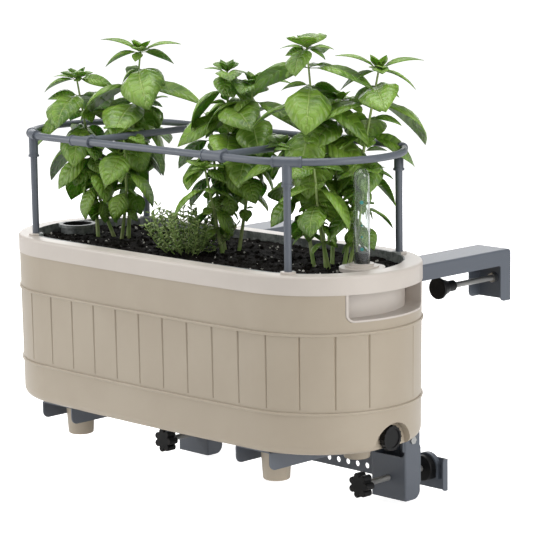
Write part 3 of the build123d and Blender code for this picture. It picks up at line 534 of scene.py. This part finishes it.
def grow_basil(name, leaves, green, chance):
    """One clump: stems with crossed pairs of leaves, small shoots between and a top whorl."""
    pieces = []
    kinds = list(leaves.values())
    for number, (base, tip, pairs, longest, turn, start) in enumerate(BASIL[name]):
        foot = Vector((base[0], PLANTER_Y + base[1], SOIL_Z - STEM_SUNK))
        head = Vector((tip[0], PLANTER_Y + tip[1], RIM_Z + tip[2] - TIP_ROOM))
        sway = Vector((chance.uniform(-1, 1), chance.uniform(-1, 1), 0)) * 0.008
        knee = foot.lerp(head, KNEE) + sway
        points = [foot, foot.lerp(knee, 0.5), knee, knee.lerp(head, 0.6), head]
        thin = STEM_RADIUS * STEM_TAPER
        pieces.append(make_stem(f"{name}_stem_{number}", points, STEM_RADIUS, thin, green))
        for pair in range(pairs):
            share = start + (1 - start) * pair / (pairs - 1)
            point = stem_point(foot, knee, head, share)
            length = longest * leaf_share(share)
            heading = turn + 90 * pair + chance.uniform(-16, 16)
            pitch = (-46 + 50 * share if share > 0.4 else -14) + chance.uniform(-12, 12)
            for side in (0, 180):
                shape = chance.choice(kinds)
                facing = heading + side + chance.uniform(-8, 8)
                drop = pitch + chance.uniform(-8, 8)
                roll = chance.uniform(-22, 22)
                place = leaf_place(point, facing, drop, roll, length * chance.uniform(0.88, 1.06))
                if clear_of_gauge(shape, place):
                    pieces.append(copied(shape, f"{name}_leaf", place))
                facing = heading + 90 + side + chance.uniform(-25, 25)
                rise = chance.uniform(-15, 45)
                roll = chance.uniform(-30, 30)
                shoot = leaf_place(point, facing, rise, roll, length * chance.uniform(0.32, 0.52))
                if clear_of_gauge(shape, shoot):
                    pieces.append(copied(shape, f"{name}_shoot", shoot))
        for bud in range(8):
            inner = bud >= 4
            rise = chance.uniform(60, 78) if inner else chance.uniform(14, 40)
            size = BUD_INNER if inner else BUD_OUTER[bud % 2]
            place = leaf_place(head, turn + 90 * bud + 45 * inner, rise, 0, longest * size)
            pieces.append(copied(kinds[0], f"{name}_bud", place))
    return joined(name + "_plant", pieces)


def clear_of_gauge(shape, place):
    """Whether a leaf at this place keeps off the gauge tube."""
    for corner in shape.data.vertices:
        spot = place @ corner.co
        off = math.hypot(spot.x - GAUGE_X, spot.y - PLANTER_Y)
        if off < GAUGE_ROOM and spot.z < GAUGE_TOP:
            return False
    return True


def leaf_share(share):
    """How long a leaf is, a share of the longest, by its height on the stem."""
    steps = ((0.0, 0.20), (0.22, 0.28), (0.42, 0.54), (0.62, 0.90), (0.80, 1.06), (0.93, 1.0), (1.0, 0.62))
    for (low, first), (high, second) in zip(steps, steps[1:]):
        if share <= high:
            return first + (second - first) * (share - low) / (high - low)
    return steps[-1][1]


def stem_point(foot, knee, head, share):
    if share < KNEE:
        return foot.lerp(knee, share / KNEE)
    return knee.lerp(head, (share - KNEE) / (1 - KNEE))


def make_needle(material):
    """A thyme leaf: a small diamond pulled from a sphere of eight faces."""
    pick_only()
    bpy.ops.mesh.primitive_ico_sphere_add(subdivisions=1, radius=0.5)
    leaf = bpy.context.object
    bpy.ops.object.mode_set(mode="EDIT")
    bpy.ops.mesh.select_all(action="SELECT")
    bpy.ops.transform.resize(value=(0.42, 1, 0.18))
    bpy.ops.transform.translate(value=(0, 0.5, 0))
    bpy.ops.object.mode_set(mode="OBJECT")
    bpy.ops.object.shade_smooth()
    leaf.data.materials.append(material)
    return leaf


def grow_thyme(material, woody, chance):
    pieces = []
    needle = make_needle(material)
    centre = Vector((THYME_PLACE[0], PLANTER_Y + THYME_PLACE[1], SOIL_Z - 0.004))
    for number in range(THYME_STEMS):
        turn = 2 * math.pi * (number * 0.618)
        spread = math.sqrt((number + 0.5) / THYME_STEMS)
        out = Vector((math.cos(turn), math.sin(turn), 0))
        foot = centre + out * spread * THYME_FOOT
        reach = THYME_REACH * spread * chance.uniform(0.55, 1.0)
        height = THYME_HEIGHT * (1.05 - 0.30 * spread * spread) * chance.uniform(0.75, 1.12)
        bow = out * reach * 0.75 + Vector((0, 0, height * 0.45))
        head = foot + out * reach + Vector((0, 0, height))
        points = [foot, foot + bow * 0.6, foot + bow + Vector((0, 0, height * 0.15)), head]
        pieces.append(make_stem(f"thyme_stem_{number}", points, *TWIG_RADII, woody))
        for count in range(THYME_LEAVES):
            share = 0.18 + 0.82 * count / (THYME_LEAVES - 1)
            point = thyme_point(points, share)
            for side in (0, 180):
                place = leaf_place(point, math.degrees(turn) + 90 * count + side + chance.uniform(-20, 20),
                                   chance.uniform(5, 55), 0, THYME_LEAF * chance.uniform(0.75, 1.2))
                pieces.append(copied(needle, "thyme_leaf", place))
    bpy.data.objects.remove(needle)
    return joined("thyme_plant", pieces)


def thyme_point(points, share):
    """A point along the bowed twig."""
    first, second, third, last = points
    one = first.lerp(second, share)
    two = second.lerp(third, share)
    three = third.lerp(last, share)
    return one.lerp(two, share).lerp(two.lerp(three, share), share)


def make_soil(material):
    """The soil body, remeshed from its plain solid, its top raked uneven."""
    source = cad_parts["soil"]
    soil = bpy.data.objects.new("soil_bed", source.data.copy())
    bpy.context.collection.objects.link(soil)
    pick_only(soil)
    bpy.ops.object.mode_set(mode="EDIT")
    bpy.ops.mesh.select_all(action="SELECT")
    bpy.ops.mesh.remove_doubles(threshold=0.00002)
    bpy.ops.object.mode_set(mode="OBJECT")
    apply(soil, "REMESH", mode="VOXEL", voxel_size=SOIL_VOXEL)
    top = soil.vertex_groups.new(name="top")
    top.add([v.index for v in soil.data.vertices if v.co.z > SOIL_Z - SOIL_VOXEL / 2], 1.0, "REPLACE")
    clods = bpy.data.textures.new("clods", "CLOUDS")
    clods.noise_scale = CLOD_SIZE
    clods.noise_depth = 3
    lift = {"direction": "Z", "strength": CLOD_HEIGHT, "mid_level": 0.45, "vertex_group": "top"}
    apply(soil, "DISPLACE", texture=clods, **lift)
    bpy.ops.object.shade_smooth()
    soil.data.materials.clear()
    soil.data.materials.append(material)
    return soil


def on_soil(chance):
    """A random place on the soil, clear of the gauge, the port and the wall."""
    while True:
        x = chance.uniform(-SOIL_REACH[0], SOIL_REACH[0])
        y = chance.uniform(-SOIL_REACH[1], SOIL_REACH[1])
        past_end = abs(x) - SOIL_END[0]
        if past_end > 0 and math.hypot(past_end, y) > SOIL_END[1]:
            continue
        if min(math.hypot(x - GAUGE_X, y), math.hypot(x - PORT_X, y)) < TOWER_ROOM:
            continue
        if not PORT_X <= x <= GAUGE_X and abs(y) < WEB_ROOM:
            continue
        return Vector((x, PLANTER_Y + y, SOIL_Z))


def scatter(name, material, count, sizes, chance):
    """Crumbs or grains strewn over the soil, each a rough stone of a few faces."""
    pick_only()
    bpy.ops.mesh.primitive_ico_sphere_add(subdivisions=1, radius=1.0)
    stone = bpy.context.object
    stone.data.materials.append(material)
    pieces = []
    for _ in range(count):
        size = chance.uniform(*sizes)
        turn = Euler([chance.uniform(0, 6.28) for _ in range(3)])
        shape = Matrix.Diagonal((size, size * chance.uniform(0.6, 1.0), size * chance.uniform(0.5, 0.9), 1))
        place = Matrix.Translation(on_soil(chance) + Vector((0, 0, size * 0.3)))
        pieces.append(copied(stone, name, place @ turn.to_matrix().to_4x4() @ shape))
    bpy.data.objects.remove(stone)
    return joined(name, pieces)


def area_lamp(name, place, target, size, power):
    lamp = bpy.data.lights.new(name, "AREA")
    lamp.shape = "RECTANGLE"
    lamp.size, lamp.size_y = size
    lamp.energy = power
    holder = bpy.data.objects.new(name, lamp)
    holder.location = place
    holder.rotation_euler = (Vector(target) - Vector(place)).to_track_quat("-Z", "Y").to_euler()
    bpy.context.collection.objects.link(holder)


def build_studio():
    pick_only()
    bpy.ops.mesh.primitive_plane_add(size=60, location=(0, 0, FLOOR_Z))
    floor = bpy.context.object
    floor.name = "studio_floor"
    bpy.ops.object.transform_apply(location=True, rotation=True, scale=True)
    finish = Finish("studio_white")
    finish.set(Base_Color=(0.93, 0.93, 0.93, 1), Roughness=finish.span(finish.noise(6.0), 0.7, 0.8))
    seen = finish.node("ShaderNodeLightPath", {}, {}, "Is Camera Ray")
    finish.set(Emission_Color=(1, 1, 1, 1), Emission_Strength=finish.span(seen, *FLOOR_GLOW))
    floor.data.materials.append(finish.material)
    world = bpy.data.worlds.new("studio_air")
    world.use_nodes = True
    nodes, links = world.node_tree.nodes, world.node_tree.links
    seen = nodes.new("ShaderNodeLightPath").outputs["Is Camera Ray"]
    shade = nodes.new("ShaderNodeMapRange")
    links.new(seen, shade.inputs["Value"])
    shade.inputs["To Min"].default_value = AIR_LIGHT
    shade.inputs["To Max"].default_value = 1.0
    nodes["Background"].inputs["Color"].default_value = (1.0, 1.0, 1.0, 1)
    links.new(shade.outputs[0], nodes["Background"].inputs["Strength"])
    bpy.context.scene.world = world
    bpy.context.scene.view_settings.view_transform = "Standard"
    for name, (place, size, power) in LAMPS.items():
        area_lamp(name, place, (0, PLANTER_Y, 0.05), size, power)


def build_camera():
    lens = bpy.data.cameras.new("photo_camera")
    lens.lens = CAMERA_LENS
    lens.sensor_width = 36.0
    lens.clip_end = 50
    camera = bpy.data.objects.new("photo_camera", lens)
    azimuth, elevation = math.radians(CAMERA_AZIMUTH), math.radians(CAMERA_ELEVATION)
    ahead = Vector((-math.sin(azimuth) * math.cos(elevation), math.cos(azimuth) * math.cos(elevation),
                    -math.sin(elevation)))
    turn = ahead.to_track_quat("-Z", "Y").to_matrix().to_4x4()
    roll = Matrix.Rotation(math.radians(CAMERA_ROLL), 4, "Z")
    camera.matrix_world = Matrix.Translation(CAMERA_PLACE) @ turn @ roll
    bpy.context.collection.objects.link(camera)
    bpy.context.scene.camera = camera


def finish_frame():
    """The finish of every piece that keeps its solid."""
    slate = powder_coat()
    black = black_moulding("black_moulding", 0.42)
    bolt = zinc("zinc_plating")
    screw = zinc("zinc_thread", 0.00125)
    paint(moulded("beige_moulding", BEIGE, BEIGE_DUSK, 0.34), "tub")
    paint(lined("cream_moulding", CREAM, CREAM_DUSK, 0.36), "liner")
    paint(black, "drain_cap", "gauge_float")
    paint(black_moulding("black_rubber", 0.70), "drain_washer")
    paint(clear_plastic(), "gauge_tube")
    paint(teal_print(), "gauge_marks")
    paint(slate, "spreader_plate", "rail_front", "rail_back")
    paint(bolt, "frame_bolts", "frame_nuts", "clamp_nuts")
    for side in SIDES:
        for kind in ("leg", "hook", "shelf", "shoe", "end_arc", "cross_bar"):
            paint(slate, f"{kind}_{side}")
        paint(screw, f"upper_screw_{side}", f"lower_screw_{side}")
        paint(black, f"upper_pad_{side}", f"star_knob_{side}", f"cup_pad_{side}")
        for depth in DEPTHS:
            for kind in ("rail", "cross_tee", "post_tee", "post"):
                paint(slate, f"{kind}_{depth}_{side}")


def add(piece, node):
    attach(piece, "insert")
    if node:
        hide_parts(node)


def main():
    chance = random.Random(7)
    finish_frame()
    loose = potting_soil("potting_soil")
    add(make_soil(loose), "soil")
    add(scatter("soil_crumbs", loose, CRUMB_COUNT, CRUMB_SIZES, chance), None)
    add(scatter("perlite", perlite_grain(), PERLITE_COUNT, PERLITE_SIZES, chance), None)
    leaf_finish = basil_leaf()
    green = plant_skin("basil_stem", STEM_GREEN, STEM_PALE, 60.0)
    leaves = {kind: make_leaf(kind, *shape, leaf_finish) for kind, shape in LEAF_KINDS.items()}
    for name in BASIL:
        add(grow_basil(name, leaves, green, chance), name)
    for leaf in leaves.values():
        bpy.data.objects.remove(leaf)
    thyme = plant_skin("thyme_leaf", THYME_GREEN, THYME_PALE, 220.0)
    woody = plant_skin("thyme_twig", STEM_GREEN, STEM_PALE, 90.0)
    add(grow_thyme(thyme, woody, chance), "thyme")
    build_studio()
    build_camera()


main()
